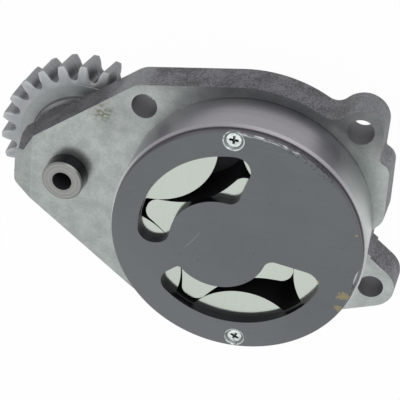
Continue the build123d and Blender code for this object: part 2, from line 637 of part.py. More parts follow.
pump_housing.part.label = "pump_housing"
export_step(pump_housing.part, "parts/pump_housing.step")
port_plate.part.label = "port_plate"
export_step(port_plate.part, "parts/port_plate.step")
for number, plate_screw in enumerate(plate_screws, start=1):
    plate_screw.part.label = f"plate_screw_{number}"
    export_step(plate_screw.part, f"parts/plate_screw_{number}.step")
outer_rotor.part.label = "outer_rotor"
export_step(outer_rotor.part, "parts/outer_rotor.step")
inner_rotor.part.label = "inner_rotor"
export_step(inner_rotor.part, "parts/inner_rotor.step")
pump_shaft.part.label = "pump_shaft"
export_step(pump_shaft.part, "parts/pump_shaft.step")
rotor_key.part.label = "rotor_key"
export_step(rotor_key.part, "parts/rotor_key.step")
gear_key.part.label = "gear_key"
export_step(gear_key.part, "parts/gear_key.step")
shaft_bush.part.label = "shaft_bush"
export_step(shaft_bush.part, "parts/shaft_bush.step")
drive_thrust_washer.part.label = "drive_thrust_washer"
export_step(drive_thrust_washer.part, "parts/drive_thrust_washer.step")
drive_gear.part.label = "drive_gear"
export_step(drive_gear.part, "parts/drive_gear.step")
drive_circlip.part.label = "drive_circlip"
export_step(drive_circlip.part, "parts/drive_circlip.step")
idler_shaft.part.label = "idler_shaft"
export_step(idler_shaft.part, "parts/idler_shaft.step")
idler_plug.part.label = "idler_plug"
export_step(idler_plug.part, "parts/idler_plug.step")
idler_thrust_washer.part.label = "idler_thrust_washer"
export_step(idler_thrust_washer.part, "parts/idler_thrust_washer.step")
idler_gear.part.label = "idler_gear"
export_step(idler_gear.part, "parts/idler_gear.step")
idler_bush.part.label = "idler_bush"
export_step(idler_bush.part, "parts/idler_bush.step")
idler_end_washer.part.label = "idler_end_washer"
export_step(idler_end_washer.part, "parts/idler_end_washer.step")
idler_circlip.part.label = "idler_circlip"
export_step(idler_circlip.part, "parts/idler_circlip.step")
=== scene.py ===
"""Dresses the engine oil pump: gears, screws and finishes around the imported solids."""

import logging
import math
from dataclasses import dataclass, field
from enum import Enum
from typing import Any, Sequence

import bmesh
import bpy
from mathutils import Matrix, Vector


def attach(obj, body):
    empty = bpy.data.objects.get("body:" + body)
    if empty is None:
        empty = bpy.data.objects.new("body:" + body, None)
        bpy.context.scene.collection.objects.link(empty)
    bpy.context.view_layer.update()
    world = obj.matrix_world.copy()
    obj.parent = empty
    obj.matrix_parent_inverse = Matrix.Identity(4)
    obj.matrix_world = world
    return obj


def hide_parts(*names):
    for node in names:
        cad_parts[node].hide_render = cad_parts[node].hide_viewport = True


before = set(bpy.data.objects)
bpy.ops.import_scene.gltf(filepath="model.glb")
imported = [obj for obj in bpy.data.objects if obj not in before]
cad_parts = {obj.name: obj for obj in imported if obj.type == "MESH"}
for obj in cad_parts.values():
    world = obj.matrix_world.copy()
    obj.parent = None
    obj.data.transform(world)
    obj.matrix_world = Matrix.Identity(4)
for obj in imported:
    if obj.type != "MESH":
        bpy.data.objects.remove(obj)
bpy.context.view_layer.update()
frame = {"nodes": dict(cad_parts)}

log = logging.getLogger("oil_pump")

Point2 = tuple[float, float]
Point3 = tuple[float, float, float]
Socket = bpy.types.NodeSocket

# Sizes are in millimetres and angles in degrees, from the pump's axis in the mounting face.
MM = 0.001
PUMP_AXIS = (0.0, 0.0)
POCKET_AXIS = (0.5, -0.8)
SHAFT_AXIS = (5.2995, 1.4483)
IDLER_AXIS = (65.2995, 1.4483)
BOLT_HOLES = ((40.188, -31.853), (-32.132, -39.964), (-47.679, 18.877))
BOLT_RADIUS = 4.5
SCREWS = ((5.792, -38.858), (-5.627, 38.008))
PLATE_RADIUS = 42.28
SINK_RADIUS = 3.3
FACE_LEVEL = 18.7
PLATE_LEVEL = 21.7
GEAR_TOP = -19.5
WEB_BASE = -27.2
GEAR_BASE = -30.7


class Body(Enum):
    """The rigid bodies that new pieces ride on."""

    HOUSING = "housing"
    SHAFT = "shaft"
    IDLER = "idler"


class Slot(Enum):
    """Names of the record's material slots for the new pieces, unused here."""

    GEAR = "gear_steel"
    SCREW = "screw_zinc"


class Step(Enum):
    """What one node of a finish does: its type, its settings, its inputs in order and its output."""

    PLUS = ("ShaderNodeMath", {"operation": "ADD"}, (0, 1), 0)
    MINUS = ("ShaderNodeMath", {"operation": "SUBTRACT"}, (0, 1), 0)
    TIMES = ("ShaderNodeMath", {"operation": "MULTIPLY"}, (0, 1), 0)
    OVER = ("ShaderNodeMath", {"operation": "DIVIDE"}, (0, 1), 0)
    LARGER = ("ShaderNodeMath", {"operation": "MAXIMUM"}, (0, 1), 0)
    SIZE = ("ShaderNodeMath", {"operation": "ABSOLUTE"}, (0,), 0)
    BEARING = ("ShaderNodeMath", {"operation": "ARCTAN2"}, (0, 1), 0)
    RAMP = ("ShaderNodeMapRange", {"interpolation_type": "SMOOTHSTEP"}, (0, 1, 2, 3, 4), 0)
    BLEND = ("ShaderNodeMix", {"data_type": "RGBA"}, (0, 6, 7), 2)
    SCALE = ("ShaderNodeVectorMath", {"operation": "SCALE"}, (0, "Scale"), 0)
    MASK = ("ShaderNodeVectorMath", {"operation": "MULTIPLY"}, (0, 1), 0)
    DISTANCE = ("ShaderNodeVectorMath", {"operation": "DISTANCE"}, (0, 1), "Value")
    DOT = ("ShaderNodeVectorMath", {"operation": "DOT_PRODUCT"}, (0, 1), "Value")
    X_PART = ("ShaderNodeSeparateXYZ", {}, (0,), "X")
    Y_PART = ("ShaderNodeSeparateXYZ", {}, (0,), "Y")
    Z_PART = ("ShaderNodeSeparateXYZ", {}, (0,), "Z")
    JOIN = ("ShaderNodeCombineXYZ", {}, ("X", "Y"), 0)
    PLACE = ("ShaderNodeMapping", {}, ("Vector", "Scale", "Location"), 0)
    NOISE = ("ShaderNodeTexNoise", {}, ("Vector", "Scale", "Detail"), "Fac")
    LINE_NOISE = ("ShaderNodeTexNoise", {"noise_dimensions": "1D"}, ("W", "Scale", "Detail"), "Fac")
    BUMP = ("ShaderNodeBump", {}, ("Height", "Distance", "Normal"), 0)


def linear(code: str) -> tuple[float, float, float, float]:
    """Turns an sRGB hex colour into linear light.

    Args:
        code: Six hex digits after a hash.

    Returns:
        Red, green, blue and an alpha of one.
    """
    parts = [int(code[at:at + 2], 16) / 255 for at in (1, 3, 5)]
    red, green, blue = (p / 12.92 if p <= 0.04045 else ((p + 0.055) / 1.055) ** 2.4 for p in parts)
    return (red, green, blue, 1.0)


def add_node(
    tree: bpy.types.NodeTree, kind: str, inputs: dict[int | str, Any] | None = None, **settings: Any
) -> bpy.types.Node:
    """Adds a node with its settings, values and links.

    Args:
        tree: The tree that takes the node.
        kind: The node's type name.
        inputs: Input name or number to a value, or to the output socket that feeds it.
        **settings: The node's own properties.

    Returns:
        The new node.
    """
    made = tree.nodes.new(kind)
    for name, value in settings.items():
        setattr(made, name, value)
    for key, value in (inputs or {}).items():
        if isinstance(value, Socket):
            tree.links.new(value, made.inputs[key])
        else:
            made.inputs[key].default_value = value
    return made


@dataclass(frozen=True)
class Patch:
    """A round mark, full within one radius of its centre and gone past another."""

    centre: Point2
    full: float
    gone: float
    strength: float = 1.0


@dataclass(frozen=True)
class Drift:
    """A mark that grows towards a level heading, from one distance off the axis to another."""

    heading: float
    start: float
    full: float
    least: float = 0.0
    most: float = 1.0


@dataclass
class Paint:
    """A material's tree, measured in millimetres."""

    name: str
    material: bpy.types.Material = field(init=False)
    tree: bpy.types.NodeTree = field(init=False)
    place: Socket = field(init=False)

    def __post_init__(self) -> None:
        """Starts an empty tree and its place in millimetres."""
        self.material = bpy.data.materials.new(self.name)
        self.material.use_nodes = True
        self.tree = self.material.node_tree
        self.tree.nodes.clear()
        self.place = self.add(Step.SCALE, add_node(self.tree, "ShaderNodeTexCoord").outputs["Object"], 1 / MM)

    def add(self, step: Step, *values: Any) -> Socket:
        """Adds one step to the tree.

        Args:
            step: What the node does.
            *values: Its numbers, vectors, hex colours or sockets, in the step's order.

        Returns:
            The step's result.
        """
        kind, settings, keys, output = step.value
        inputs = {key: linear(v) if isinstance(v, str) else v for key, v in zip(keys, values)}
        return add_node(self.tree, kind, inputs, **settings).outputs[output]

    def noise(
        self, size: float, detail: float, stretch: Point3 = (1.0, 1.0, 1.0), shift: Point3 = (0.0, 0.0, 0.0)
    ) -> Socket:
        """Makes blotches of a real size.

        Args:
            size: About how many millimetres a blotch is across.
            detail: How many finer layers it has.
            stretch: How much closer the blotches lie along each axis.
            shift: Moves the pattern, so that no two are alike.

        Returns:
            The pattern, from nought to one.
        """
        scale = tuple(s / size for s in stretch)
        return self.add(Step.NOISE, self.add(Step.PLACE, self.place, scale, shift), 1.0, detail)

    def level(self) -> Socket:
        """Height above the mounting face, in millimetres."""
        return self.add(Step.Z_PART, self.place)

    def facing(self) -> Socket:
        """How far a face looks along the pump's axis, from minus one to one."""
        return self.add(Step.Z_PART, add_node(self.tree, "ShaderNodeNewGeometry").outputs["Normal"])

    def reach(self, centre: Point2) -> Socket:
        """Distance from an upright axis, in millimetres."""
        return self.add(Step.DISTANCE, self.add(Step.MASK, self.place, (1.0, 1.0, 0.0)), (*centre, 0.0))

    def patch(self, mark: Patch) -> Socket:
        """How strong a round mark is, from nought to its strength."""
        return self.add(Step.RAMP, self.reach(mark.centre), mark.gone, mark.full, 0.0, mark.strength)

    def drift(self, mark: Drift) -> Socket:
        """How strong a mark is that grows towards one side.

        Args:
            mark: The mark.

        Returns:
            Its strength, from its least to its most.
        """
        turn = math.radians(mark.heading)
        along = self.add(Step.DOT, self.place, (math.cos(turn), math.sin(turn), 0.0))
        return self.add(Step.RAMP, along, mark.start, mark.full, mark.least, mark.most)

    def turned(self, centre: Point2, pitch: float) -> Socket:
        """Draws the fine rings of a lathe tool, on faces and on walls alike.

        Args:
            centre: The upright axis that the piece was turned about.
            pitch: Millimetres from ring to ring.

        Returns:
            The rings, from nought to one.
        """
        out = self.add(Step.OVER, self.reach(centre), pitch)
        up = self.add(Step.OVER, self.level(), pitch)
        return self.add(Step.LINE_NOISE, self.add(Step.PLUS, out, up), 1.0, 2.0)

    def finish(self, colour: Any, metallic: Any, roughness: Any, normal: Any = None) -> bpy.types.Material:
        """Closes the tree with one principled shader.

        Args:
            colour: The base colour.
            metallic: How much of it is bare metal.
            roughness: How dull it is.
            normal: The bumped normal, if it has one.

        Returns:
            The finished material.
        """
        inputs = {"Base Color": colour, "Metallic": metallic, "Roughness": roughness}
        if normal is not None:
            inputs["Normal"] = normal
        shader = add_node(self.tree, "ShaderNodeBsdfPrincipled", inputs)
        add_node(self.tree, "ShaderNodeOutputMaterial", {"Surface": shader.outputs[0]})
        return self.material


@dataclass(frozen=True)
class GreyIron:
    """Sand-cast grey iron with milled, turned and drilled faces."""

    cast: str = "#57565A"
    cast_light: str = "#86858A"
    cast_dusty: str = "#AAADAF"
    milled: str = "#A3A8A5"
    milled_worn: str = "#8F9593"
    # Painted shade: the first pair is a darker copy of the next pair, for the body's side towards -Y.
    turned: str = "#8E8B92"
    shaded_wall_ring: str = "#A5A3A8"
    lit_wall: str = "#B6BBB9"
    lit_wall_ring: str = "#C6CAC8"
    brim: str = "#706E74"
    # Dark colour of the painted shade, and of the smear by the olive stain.
    shade_and_stain: str = "#2E2D32"
    # Dark colour of the painted shade at the foot of the body's side.
    foot_shade_colour: str = "#4A484E"
    drilled: str = "#7C7B80"
    # Colour of the oil in the pocket.
    oil_and_shade: str = "#4C4C51"
    olive: str = "#64664E"

    wall_radius: float = 43.7
    ring_pitch: float = 0.35
    cast_depth: float = 0.9
    ring_depth: float = 0.012
    # Where each mark lies on the casting.
    pocket: Patch = Patch(POCKET_AXIS, 35.28, 35.32)
    dusty_corner: Patch = Patch((46.0, -39.5), 4.0, 9.0, 0.38)
    stain: Patch = Patch((54.2, -25.9), 1.0, 5.5)
    smear: Patch = Patch((50.0, -26.0), 3.0, 14.0, 0.16)
    # Painted shade over the casting's side towards -Y.
    shaded_side: Drift = Drift(-95.0, 24.0, 46.0)
    # Painted shade: a dark band on the mounting face towards -Y.
    face_shade_band: Drift = Drift(-95.0, 30.0, 45.0)
    # Painted shade at the end of the flange beside the idler gear.
    gear_end_shade: Drift = Drift(-10.0, 55.0, 61.0, 0.0, 0.5)
    dust: Drift = Drift(-150.0, 34.0, 54.0, 0.0, 0.3)
    # Where the painted shade on the face is kept faint, beside the body away from the idler.
    faint_shade_near_body: Drift = Drift(180.0, 16.0, 30.0)
    # A painted shade line at the foot of the body, stronger towards -Y.
    foot_shade_line: Drift = Drift(-105.0, 22.0, 42.0, 0.08, 0.5)
    # Painted shade at the foot of the body's side, stronger towards -X.
    wall_foot_shade: Drift = Drift(180.0, -16.0, 8.0, 0.15, 1.0)
    # Painted shade: where the body's side turns darker, towards -Y.
    shaded_wall_side: Drift = Drift(-84.0, 15.5, 33.5)

    def sand_skin(self, p: Paint, grain: Socket, lumps: Socket, shade_and_stain: Socket) -> Socket:
        """Colours the skin that the sand mould left.

        Args:
            p: The material's tree.
            grain: The sand's grain.
            lumps: The mould's slower unevenness.
            shade_and_stain: How much painted shade lies on it, growing towards -Y.

        Returns:
            The colour.
        """
        relief = p.add(Step.PLUS, grain, p.add(Step.TIMES, lumps, 0.6))
        colour = p.add(Step.BLEND, p.add(Step.RAMP, relief, 0.6, 1.0), self.cast, self.cast_light)
        # Painted shade darkens the skin a little towards -Y.
        colour = p.add(Step.BLEND, p.add(Step.TIMES, shade_and_stain, 0.2), colour, self.shade_and_stain)
        colour = p.add(Step.BLEND, p.drift(self.dust), colour, self.cast_dusty)
        # Painted shade darkens the end of the flange beside the idler gear, up to a dusty corner.
        colour = p.add(Step.BLEND, p.drift(self.gear_end_shade), colour, self.shade_and_stain)
        return p.add(Step.BLEND, p.patch(self.dusty_corner), colour, self.cast_dusty)

    def milled_face(self, p: Paint, body: Socket) -> Socket:
        """Colours the mounting face.

        Args:
            p: The material's tree.
            body: Distance from the pump's axis.

        Returns:
            The colour.
        """
        # A milled face keeps faint clouds where the cutter dwelt.
        clouds = p.noise(5.0, 5.0)
        fine = p.noise(1.0, 3.0, shift=(5.0, 0.0, 0.0))
        dwell = p.add(Step.PLUS, clouds, p.add(Step.TIMES, fine, 0.6))
        colour = p.add(Step.BLEND, p.add(Step.RAMP, dwell, 0.55, 1.1), self.milled_worn, self.milled)
        stain = p.add(Step.TIMES, p.patch(self.stain), p.add(Step.RAMP, p.noise(1.4, 3.0), 0.42, 0.6))
        colour = p.add(Step.BLEND, p.add(Step.TIMES, stain, 0.85), colour, self.olive)
        # Painted shade: a dark band on the face towards -Y, kept faint beside the body on the side away from
        # the idler. A wider smear round the olive stain is a stain.
        faint_shade_near_body = p.add(Step.TIMES, p.drift(self.faint_shade_near_body), p.add(Step.RAMP, body, 48.5, 45.0))
        spread = p.add(Step.TIMES, p.drift(self.face_shade_band), p.add(Step.RAMP, faint_shade_near_body, 0.0, 1.0, 0.62, 0.08))
        colour = p.add(Step.BLEND, p.add(Step.LARGER, spread, p.patch(self.smear)), colour, self.shade_and_stain)
        # The turning tool leaves a fine corner at the foot of the body; a thin painted shade line marks it,
        # stronger towards -Y.
        corner = p.add(Step.RAMP, body, self.wall_radius + 0.3, self.wall_radius)
        return p.add(Step.BLEND, p.add(Step.TIMES, corner, p.drift(self.foot_shade_line)), colour, self.shade_and_stain)

    def turned_wall(self, p: Paint, level: Socket, body: Socket, rings: Socket, shade_and_stain: Socket) -> Socket:
        """Colours the pump body, with a darker brim, painted shade towards -Y and painted shade at its foot.

        Args:
            p: The material's tree.
            level: Height above the mounting face.
            body: Distance from the pump's axis.
            rings: The turning tool's rings.
            shade_and_stain: How much painted shade lies on it, growing towards -Y.

        Returns:
            The colour.
        """
        rubbed = p.add(Step.RAMP, rings, 0.3, 0.7)
        lit_wall = p.add(Step.BLEND, rubbed, self.lit_wall, self.lit_wall_ring)
        dull = p.add(Step.BLEND, rubbed, self.turned, self.shaded_wall_ring)
        # Painted shade: the body's side towards -Y takes the darker copy of its colour.
        colour = p.add(Step.BLEND, p.drift(self.shaded_wall_side), lit_wall, dull)
        high = p.add(Step.RAMP, level, FACE_LEVEL - 0.25, FACE_LEVEL - 0.12)
        brim = p.add(Step.TIMES, high, p.add(Step.RAMP, body, 41.5, 41.8))
        colour = p.add(Step.BLEND, brim, colour, self.brim)
        # Painted shade at the foot of the body's side, towards -X and -Y.
        low = p.add(Step.RAMP, level, 9.0, 1.0, 0.0, 0.5)
        foot_shading = p.add(Step.TIMES, p.add(Step.TIMES, shade_and_stain, p.drift(self.wall_foot_shade)), low)
        return p.add(Step.BLEND, foot_shading, colour, self.foot_shade_colour)

    def build(self) -> bpy.types.Material:
        """Grainy dull casting where the sand was, satin grey where a cutter passed.

        Returns:
            The material.
        """
        p = Paint("grey_iron_cast_and_machined")
        level = p.level()
        body = p.reach(PUMP_AXIS)
        rings = p.turned(PUMP_AXIS, self.ring_pitch)
        # Painted shade darkens the side of the casting towards -Y.
        shade_and_stain = p.drift(self.shaded_side)
        # Sand grain of under a millimetre gives the casting its dull sparkle.
        grain = p.noise(0.8, 4.0)
        lumps = p.noise(6.0, 2.0, shift=(3.0, 7.0, 1.0))

        upward = p.add(Step.RAMP, p.facing(), 0.9, 0.95)
        cut = p.add(Step.LARGER, upward, p.add(Step.RAMP, level, 0.01, 0.05))
        on_top = p.add(Step.TIMES, p.add(Step.RAMP, level, -2.9, -2.7), cut)
        near = p.add(Step.RAMP, body, self.wall_radius + 0.5, self.wall_radius)
        on_body = p.add(Step.TIMES, p.add(Step.RAMP, level, 0.02, 0.2), near)
        in_pocket = p.add(Step.TIMES, p.patch(self.pocket), p.add(Step.RAMP, level, 0.5, 0.65))
        drilled: Any = 0.0
        for hole in BOLT_HOLES:
            bore = Patch(hole, BOLT_RADIUS + 0.01, BOLT_RADIUS + 0.04)
            drilled = p.add(Step.LARGER, drilled, p.patch(bore))

        skin = self.sand_skin(p, grain, lumps, shade_and_stain)
        colour = p.add(Step.BLEND, on_top, skin, self.milled_face(p, body))
        colour = p.add(Step.BLEND, on_body, colour, self.turned_wall(p, level, body, rings, shade_and_stain))
        colour = p.add(Step.BLEND, in_pocket, colour, self.oil_and_shade)
        colour = p.add(Step.BLEND, drilled, colour, self.drilled)
        metallic = p.add(Step.RAMP, on_top, 0.0, 1.0, 0.55, 0.95)
        rough = p.add(Step.RAMP, on_top, 0.0, 1.0, 0.62, 0.3)
        rough = p.add(Step.PLUS, rough, p.add(Step.TIMES, on_body, 0.12))
        uncut = p.add(Step.MINUS, 1.0, p.add(Step.LARGER, on_top, drilled))
        relief = p.add(Step.TIMES, p.add(Step.PLUS, grain, lumps), uncut)
        normal = p.add(Step.BUMP, relief, self.cast_depth * MM)
        normal = p.add(Step.BUMP, p.add(Step.TIMES, rings, on_body), self.ring_depth * MM, normal)
        return p.finish(colour, metallic, rough, normal)


@dataclass(frozen=True)
class GroundPlate:
    """Blued steel plate, surface ground, with fresh metal in its countersinks."""

    steel: str = "#5D6063"
    streak: str = "#646769"
    worn: str = "#737679"
    edge: str = "#67636A"
    bright: str = "#C9CFCE"
    cut: str = "#7C8182"
    rust: str = "#8C8362"
    # Near-black of the pits, and of the painted shade on the port walls.
    port_shade_and_pits: str = "#2A292F"

    line_depth: float = 0.006
    dash_length: float = 2.6
    dash_width: float = 0.45
    rubbed_side: Drift = Drift(65.0, 0.0, 42.0, 0.0, 0.4)
    scuffed: Patch = Patch((-5.5, -42.0), 7.0, 15.0)
    pitted: Patch = Patch((-21.0, -37.0), 6.0, 15.0)
    # Each scratch follows a circle, given by its centre and radius, within a patch.
    scratches: tuple[tuple[Point2, float, Patch], ...] = (
        ((40.0, -13.6), 30.3, Patch((14.0, 1.5), 3.0, 5.0)),
        ((40.0, -13.6), 31.2, Patch((11.5, 4.6), 1.2, 2.0)),
        ((20.0, 60.0), 62.0, Patch((-22.0, 13.0), 2.1, 3.5)),
    )
    rust_spots: tuple[tuple[Point2, float], ...] = (
        ((-38.8, 9.8), 4.0), ((-37.9, 15.0), 2.6), ((-38.3, -14.8), 0.8), ((-29.6, 6.4), 1.2),
    )

    def ground_face(self, p: Paint, lines: Socket, clouds: Socket) -> Socket:
        """Colours the plate's face, with its grinding lines, scratches and pits.

        Args:
            p: The material's tree.
            lines: The grinding lines.
            clouds: The blueing's slow changes of tone.

        Returns:
            The colour.
        """
        tone = p.add(Step.PLUS, p.add(Step.TIMES, lines, 0.5), clouds)
        colour = p.add(Step.BLEND, p.add(Step.RAMP, tone, 0.45, 1.05), self.steel, self.streak)
        # A few hair-fine scratches, drawn a quarter of a millimetre wide so that they show.
        for centre, radius, extent in self.scratches:
            off = p.add(Step.SIZE, p.add(Step.MINUS, p.reach(centre), radius))
            hair = p.add(Step.TIMES, p.add(Step.RAMP, off, 0.05, 0.16, 1.0, 0.0), p.patch(extent))
            colour = p.add(Step.BLEND, p.add(Step.TIMES, hair, 0.18), colour, self.bright)
        # Sparse pits where the blueing has gone.
        pits = p.noise(0.9, 2.0, shift=(1.0, 8.0, 3.0))
        colour = p.add(Step.BLEND, p.add(Step.RAMP, pits, 0.69, 0.77, 0.0, 0.6), colour, self.port_shade_and_pits)
        return p.add(Step.BLEND, p.drift(self.rubbed_side), colour, self.worn)

    def rim_wear(self, p: Paint, colour: Socket, level: Socket, specks: Socket) -> Socket:
        """Adds painted shade on the port walls, the broken edge, scuffs, pits and rust.

        Args:
            p: The material's tree.
            colour: The colour so far.
            level: Height above the mounting face.
            specks: Fine spots that break up the marks.

        Returns:
            The colour.
        """
        rim = p.reach(PUMP_AXIS)
        # Painted shade: the plate's upright inner faces, the port walls among them, are painted near-black.
        upright = p.add(Step.RAMP, p.add(Step.SIZE, p.facing()), 0.3, 0.1)
        port_shade_and_pits = p.add(Step.TIMES, upright, p.add(Step.RAMP, rim, 38.0, 37.5))
        colour = p.add(Step.BLEND, port_shade_and_pits, colour, self.port_shade_and_pits)
        below = p.add(Step.RAMP, level, PLATE_LEVEL - 0.35, PLATE_LEVEL - 0.55)
        edge = p.add(Step.TIMES, p.add(Step.RAMP, rim, 42.0, 42.15), below)
        colour = p.add(Step.BLEND, edge, colour, self.edge)
        # Scuffs follow the rim, each a couple of millimetres long.
        bearing = p.add(Step.BEARING, p.add(Step.Y_PART, p.place), p.add(Step.X_PART, p.place))
        round_rim = p.add(Step.TIMES, bearing, PLATE_RADIUS / self.dash_length)
        across = p.add(Step.OVER, rim, self.dash_width)
        dashes = p.add(Step.NOISE, p.add(Step.JOIN, round_rim, across), 1.0, 2.0)
        scuff = p.add(Step.TIMES, p.add(Step.RAMP, rim, 41.2, 41.8), p.patch(self.scuffed))
        high = p.add(Step.RAMP, level, PLATE_LEVEL - 0.6, PLATE_LEVEL - 0.35)
        scuff = p.add(Step.TIMES, scuff, high)
        scuff = p.add(Step.TIMES, scuff, p.add(Step.RAMP, dashes, 0.47, 0.58, 0.0, 0.7))
        colour = p.add(Step.BLEND, scuff, colour, self.bright)
        # Past the scuffs the rim is only pitted.
        pitted = p.add(Step.TIMES, p.add(Step.RAMP, rim, 40.0, 41.6), p.patch(self.pitted))
        pitted = p.add(Step.TIMES, pitted, p.add(Step.RAMP, specks, 0.48, 0.6, 0.0, 0.5))
        colour = p.add(Step.BLEND, pitted, colour, self.port_shade_and_pits)
        for centre, size in self.rust_spots:
            border = p.add(Step.OVER, p.reach(centre), size)
            border = p.add(Step.PLUS, border, p.add(Step.TIMES, specks, 1.4))
            colour = p.add(Step.BLEND, p.add(Step.RAMP, border, 1.25, 0.95, 0.0, 0.8), colour, self.rust)
        return colour

    def sinks(self, p: Paint, colour: Socket, level: Socket, specks: Socket) -> Socket:
        """Adds the countersinks' fresh metal and their bright burrs.

        Args:
            p: The material's tree.
            colour: The colour so far.
            level: Height above the mounting face.
            specks: Fine spots that break up the marks.

        Returns:
            The colour.
        """
        fresh: Any = 0.0
        burr: Any = 0.0
        for screw in SCREWS:
            fresh = p.add(Step.LARGER, fresh, p.patch(Patch(screw, SINK_RADIUS + 0.1, SINK_RADIUS + 0.25)))
            off = p.add(Step.SIZE, p.add(Step.MINUS, p.reach(screw), SINK_RADIUS))
            burr = p.add(Step.LARGER, burr, p.add(Step.RAMP, off, 0.1, 0.3, 1.0, 0.0))
        fresh = p.add(Step.TIMES, fresh, p.add(Step.RAMP, level, PLATE_LEVEL - 2.2, PLATE_LEVEL - 1.6))
        colour = p.add(Step.BLEND, fresh, colour, self.cut)
        burr = p.add(Step.TIMES, burr, p.add(Step.RAMP, level, PLATE_LEVEL - 0.5, PLATE_LEVEL - 0.3))
        burr = p.add(Step.TIMES, burr, p.add(Step.RAMP, specks, 0.36, 0.56))
        return p.add(Step.BLEND, burr, colour, self.bright)

    def build(self) -> bpy.types.Material:
        """Dark satin blue-grey with faint grinding lines, scuffed at its rim.

        Returns:
            The material.
        """
        p = Paint("blued_steel_surface_ground")
        level = p.level()
        # Grinding lines a few tenths of a millimetre apart run straight across the plate.
        lines = p.noise(0.3, 2.0, stretch=(0.02, 1.0, 1.0))
        clouds = p.noise(14.0, 3.0, shift=(2.0, 4.0, 0.0))
        specks = p.noise(1.1, 3.0, shift=(9.0, 1.0, 4.0))
        colour = self.rim_wear(p, self.ground_face(p, lines, clouds), level, specks)
        colour = self.sinks(p, colour, level, specks)
        rough = p.add(Step.RAMP, clouds, 0.3, 0.7, 0.36, 0.46)
        return p.finish(colour, 0.9, rough, p.add(Step.BUMP, lines, self.line_depth * MM))


@dataclass(frozen=True)
class SinteredRotor:
    """Sintered steel, dark as pressed on its flanks and ground bright on its end faces."""

    ground: str = "#ADB4AC"
    hatch: str = "#AAB1A9"
    pressed: str = "#4A4A4E"
    line_depth: float = 0.002

    def build(self) -> bpy.types.Material:
        """Pale silvery faces that mirror the port walls, over black flanks with oil on them.

        Returns:
            The material.
        """
        p = Paint("sintered_steel_ground_faces")
        lines = p.noise(0.35, 2.0, stretch=(1.0, 0.03, 1.0))
        face = p.add(Step.RAMP, p.add(Step.SIZE, p.facing()), 0.6, 0.9)
        colour = p.add(Step.BLEND, p.add(Step.RAMP, lines, 0.2, 0.8), self.hatch, self.ground)
        colour = p.add(Step.BLEND, face, self.pressed, colour)
        rough = p.add(Step.RAMP, face, 0.0, 1.0, 0.5, 0.16)
        return p.finish(colour, 1.0, rough, p.add(Step.BUMP, lines, self.line_depth * MM))


@dataclass(frozen=True)
class HobbedSteel:
    """Gear steel, hobbed and then tumbled, with painted shade in the gullets and round the thrust washer."""

    name: str
    centre: Point2

    face: str = "#A6A9AA"
    shadow: str = "#909496"
    web: str = "#858B89"
    flank: str = "#696B6E"
    edge: str = "#E2E5E5"
    # Dark colour of the painted shade in the gullets and round the thrust washer.
    oil_and_shade: str = "#4C4E52"
    grain_depth: float = 0.02
    # The hob's marks across the flanks, drawn about a millimetre apart so that they show.
    marks_per_mm: float = 1.4
    washer_radius: float = 20.2

    def build(self) -> bpy.types.Material:
        """Satin mid-grey with faint clouds from tumbling.

        Returns:
            The material.
        """
        p = Paint(self.name)
        clouds = p.noise(5.0, 4.0)
        fine = p.noise(0.6, 2.0)
        radius = p.reach(self.centre)
        facing = p.add(Step.SIZE, p.facing())
        tone = p.add(Step.PLUS, clouds, p.add(Step.TIMES, fine, 0.3))
        colour = p.add(Step.BLEND, p.add(Step.RAMP, tone, 0.4, 0.95), self.shadow, self.face)
        colour = p.add(Step.BLEND, p.add(Step.RAMP, radius, 25.6, 24.8, 0.0, 0.35), colour, self.web)
        # Painted shade: a dark ring on the face just outside the thrust washer.
        inner = p.add(Step.RAMP, radius, self.washer_radius - 0.1, self.washer_radius + 0.1)
        outer = p.add(Step.RAMP, radius, self.washer_radius + 0.9, self.washer_radius + 0.3)
        washer_shade = p.add(Step.TIMES, p.add(Step.TIMES, inner, outer), 0.75)
        colour = p.add(Step.BLEND, washer_shade, colour, self.oil_and_shade)
        side = p.add(Step.RAMP, facing, 0.3, 0.2)
        colour = p.add(Step.BLEND, p.add(Step.TIMES, side, 0.55), colour, self.flank)
        # Painted shade darkens the flanks deep in the gullets.
        gullet = p.add(Step.TIMES, side, p.add(Step.RAMP, radius, 31.0, 27.2))
        colour = p.add(Step.BLEND, p.add(Step.TIMES, gullet, 0.8), colour, self.oil_and_shade)
        # Handling rubs the teeth's edges bright; this is also a painted highlight where their chamfers catch
        # the light.
        rubbed = p.add(Step.TIMES, p.add(Step.RAMP, facing, 0.3, 0.4), p.add(Step.RAMP, facing, 0.995, 0.97))
        rubbed = p.add(Step.TIMES, rubbed, p.add(Step.RAMP, radius, 27.5, 29.5, 0.0, 0.4))
        colour = p.add(Step.BLEND, rubbed, colour, self.edge)
        marks = p.add(Step.LINE_NOISE, p.level(), self.marks_per_mm, 2.0)
        marks = p.add(Step.TIMES, side, p.add(Step.RAMP, marks, 0.4, 0.62, 0.0, 0.4))
        colour = p.add(Step.BLEND, marks, colour, self.face)
        rough = p.add(Step.RAMP, clouds, 0.3, 0.7, 0.42, 0.52)
        return p.finish(colour, 0.9, rough, p.add(Step.BUMP, fine, self.grain_depth * MM))


@dataclass(frozen=True)
class TurnedSteel:
    """A turned or ground steel part with rings round its own axis."""

    name: str
    centre: Point2
    bright: str = "#98988F"
    dull: str = "#7E7E79"
    roughness: float = 0.3
    pitch: float = 0.3
    ring_depth: float = 0.012

    def build(self) -> bpy.types.Material:
        """Grey steel with fine rings that catch the light.

        Returns:
            The material.
        """
        p = Paint(self.name)
        rings = p.turned(self.centre, self.pitch)
        colour = p.add(Step.BLEND, p.add(Step.RAMP, rings, 0.3, 0.7), self.dull, self.bright)
        return p.finish(colour, 1.0, self.roughness, p.add(Step.BUMP, rings, self.ring_depth * MM))


